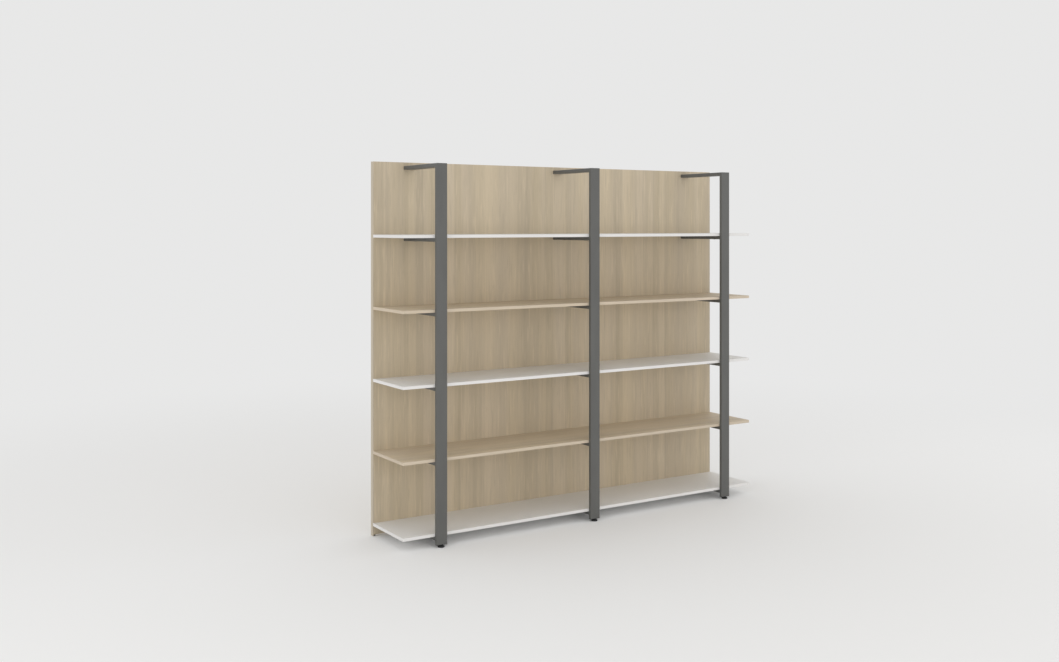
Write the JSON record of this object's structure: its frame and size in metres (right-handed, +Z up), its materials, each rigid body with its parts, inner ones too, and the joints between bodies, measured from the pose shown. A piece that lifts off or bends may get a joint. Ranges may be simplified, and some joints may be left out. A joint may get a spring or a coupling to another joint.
{
  "type": "gondola shelving unit",
  "caption": "Single-sided gondola shelving unit: laminate back panel, flat steel posts in front, full-width white and wood boards on tube arms, levelling feet.",
  "frame": {"origin": "on the floor, in the middle of the unit's footprint", "axes": "+X along the shelves to the right as seen from the front, +Y from the posts towards the back panel, +Z up"},
  "size_m": [2.4, 0.4228, 2.0275],
  "materials": {
    "wood_laminate": "matt light wood-grain laminate on board",
    "white_laminate": "fine-textured white melamine on board",
    "grey_powder_coat": "dark grey satin powder coat on steel tube",
    "black_plastic": "black moulded plastic",
    "zinc_steel": "bright zinc-plated steel",
    "black_zinc_steel": "black zinc-plated steel"
  },
  "bodies": {
    "root": {"back_panel": "wood_laminate", "end_trim_left": "wood_laminate", "end_trim_right": "wood_laminate", "shelf_1_white": "white_laminate", "shelf_2_wood": "wood_laminate", "shelf_3_white": "white_laminate", "shelf_4_wood": "wood_laminate", "shelf_5_white": "white_laminate", "post_left": "grey_powder_coat", "top_arm_left": "grey_powder_coat", "shelf_arm_left_1": "grey_powder_coat", "shelf_arm_left_2": "grey_powder_coat", "shelf_arm_left_3": "grey_powder_coat", "shelf_arm_left_4": "grey_powder_coat", "shelf_arm_left_5": "grey_powder_coat", "connector_bolt_left_1": "zinc_steel", "connector_bolt_left_2": "zinc_steel", "connector_bolt_left_3": "zinc_steel", "connector_bolt_left_4": "zinc_steel", "connector_bolt_left_5": "zinc_steel", "connector_bolt_left_6": "zinc_steel", "foot_plug_left": "black_plastic", "post_middle": "grey_powder_coat", "top_arm_middle": "grey_powder_coat", "shelf_arm_middle_1": "grey_powder_coat", "shelf_arm_middle_2": "grey_powder_coat", "shelf_arm_middle_3": "grey_powder_coat", "shelf_arm_middle_4": "grey_powder_coat", "shelf_arm_middle_5": "grey_powder_coat", "connector_bolt_middle_1": "zinc_steel", "connector_bolt_middle_2": "zinc_steel", "connector_bolt_middle_3": "zinc_steel", "connector_bolt_middle_4": "zinc_steel", "connector_bolt_middle_5": "zinc_steel", "connector_bolt_middle_6": "zinc_steel", "foot_plug_middle": "black_plastic", "post_right": "grey_powder_coat", "top_arm_right": "grey_powder_coat", "shelf_arm_right_1": "grey_powder_coat", "shelf_arm_right_2": "grey_powder_coat", "shelf_arm_right_3": "grey_powder_coat", "shelf_arm_right_4": "grey_powder_coat", "shelf_arm_right_5": "grey_powder_coat", "connector_bolt_right_1": "zinc_steel", "connector_bolt_right_2": "zinc_steel", "connector_bolt_right_3": "zinc_steel", "connector_bolt_right_4": "zinc_steel", "connector_bolt_right_5": "zinc_steel", "connector_bolt_right_6": "zinc_steel", "foot_plug_right": "black_plastic"},
    "post_foot_left": {"foot_pad_left": "black_plastic"},
    "foot_screw_left": {"foot_stud_left": "black_zinc_steel"},
    "post_foot_middle": {"foot_pad_middle": "black_plastic"},
    "foot_screw_middle": {"foot_stud_middle": "black_zinc_steel"},
    "post_foot_right": {"foot_pad_right": "black_plastic"},
    "foot_screw_right": {"foot_stud_right": "black_zinc_steel"},
    "panel_foot_1": {"panel_glide_1": "black_plastic"},
    "panel_foot_2": {"panel_glide_2": "black_plastic"},
    "panel_foot_3": {"panel_glide_3": "black_plastic"},
    "panel_foot_4": {"panel_glide_4": "black_plastic"}
  },
  "joints": [
    {"name": "foot_turn_left", "type": "hinge", "parent": "post_foot_left", "child": "foot_screw_left", "pos_m": [-0.985, -0.19337, 0.03], "axis": [0, 0, -1], "range_deg": [0, 4320]},
    {"name": "foot_height_left", "type": "slide", "parent": "root", "child": "post_foot_left", "axis": [0, 0, -1], "range_m": [0, 0.018]},
    {"name": "foot_turn_middle", "type": "hinge", "parent": "post_foot_middle", "child": "foot_screw_middle", "pos_m": [0, -0.19337, 0.03], "axis": [0, 0, -1], "range_deg": [0, 4320]},
    {"name": "foot_height_middle", "type": "slide", "parent": "root", "child": "post_foot_middle", "axis": [0, 0, -1], "range_m": [0, 0.018]},
    {"name": "foot_turn_right", "type": "hinge", "parent": "post_foot_right", "child": "foot_screw_right", "pos_m": [0.985, -0.19337, 0.03], "axis": [0, 0, -1], "range_deg": [0, 4320]},
    {"name": "foot_height_right", "type": "slide", "parent": "root", "child": "post_foot_right", "axis": [0, 0, -1], "range_m": [0, 0.018]},
    {"name": "panel_foot_height_1", "type": "slide", "parent": "root", "child": "panel_foot_1", "axis": [0, 0, -1], "range_m": [0, 0.012]},
    {"name": "panel_foot_height_2", "type": "slide", "parent": "root", "child": "panel_foot_2", "axis": [0, 0, -1], "range_m": [0, 0.012]},
    {"name": "panel_foot_height_3", "type": "slide", "parent": "root", "child": "panel_foot_3", "axis": [0, 0, -1], "range_m": [0, 0.012]},
    {"name": "panel_foot_height_4", "type": "slide", "parent": "root", "child": "panel_foot_4", "axis": [0, 0, -1], "range_m": [0, 0.012]}
  ],
  "couplings": [
    {"joint": "foot_turn_left", "follows": "foot_height_left", "rad_per_m": 4188.8},
    {"joint": "foot_turn_middle", "follows": "foot_height_middle", "rad_per_m": 4188.8},
    {"joint": "foot_turn_right", "follows": "foot_height_right", "rad_per_m": 4188.8}
  ]
}
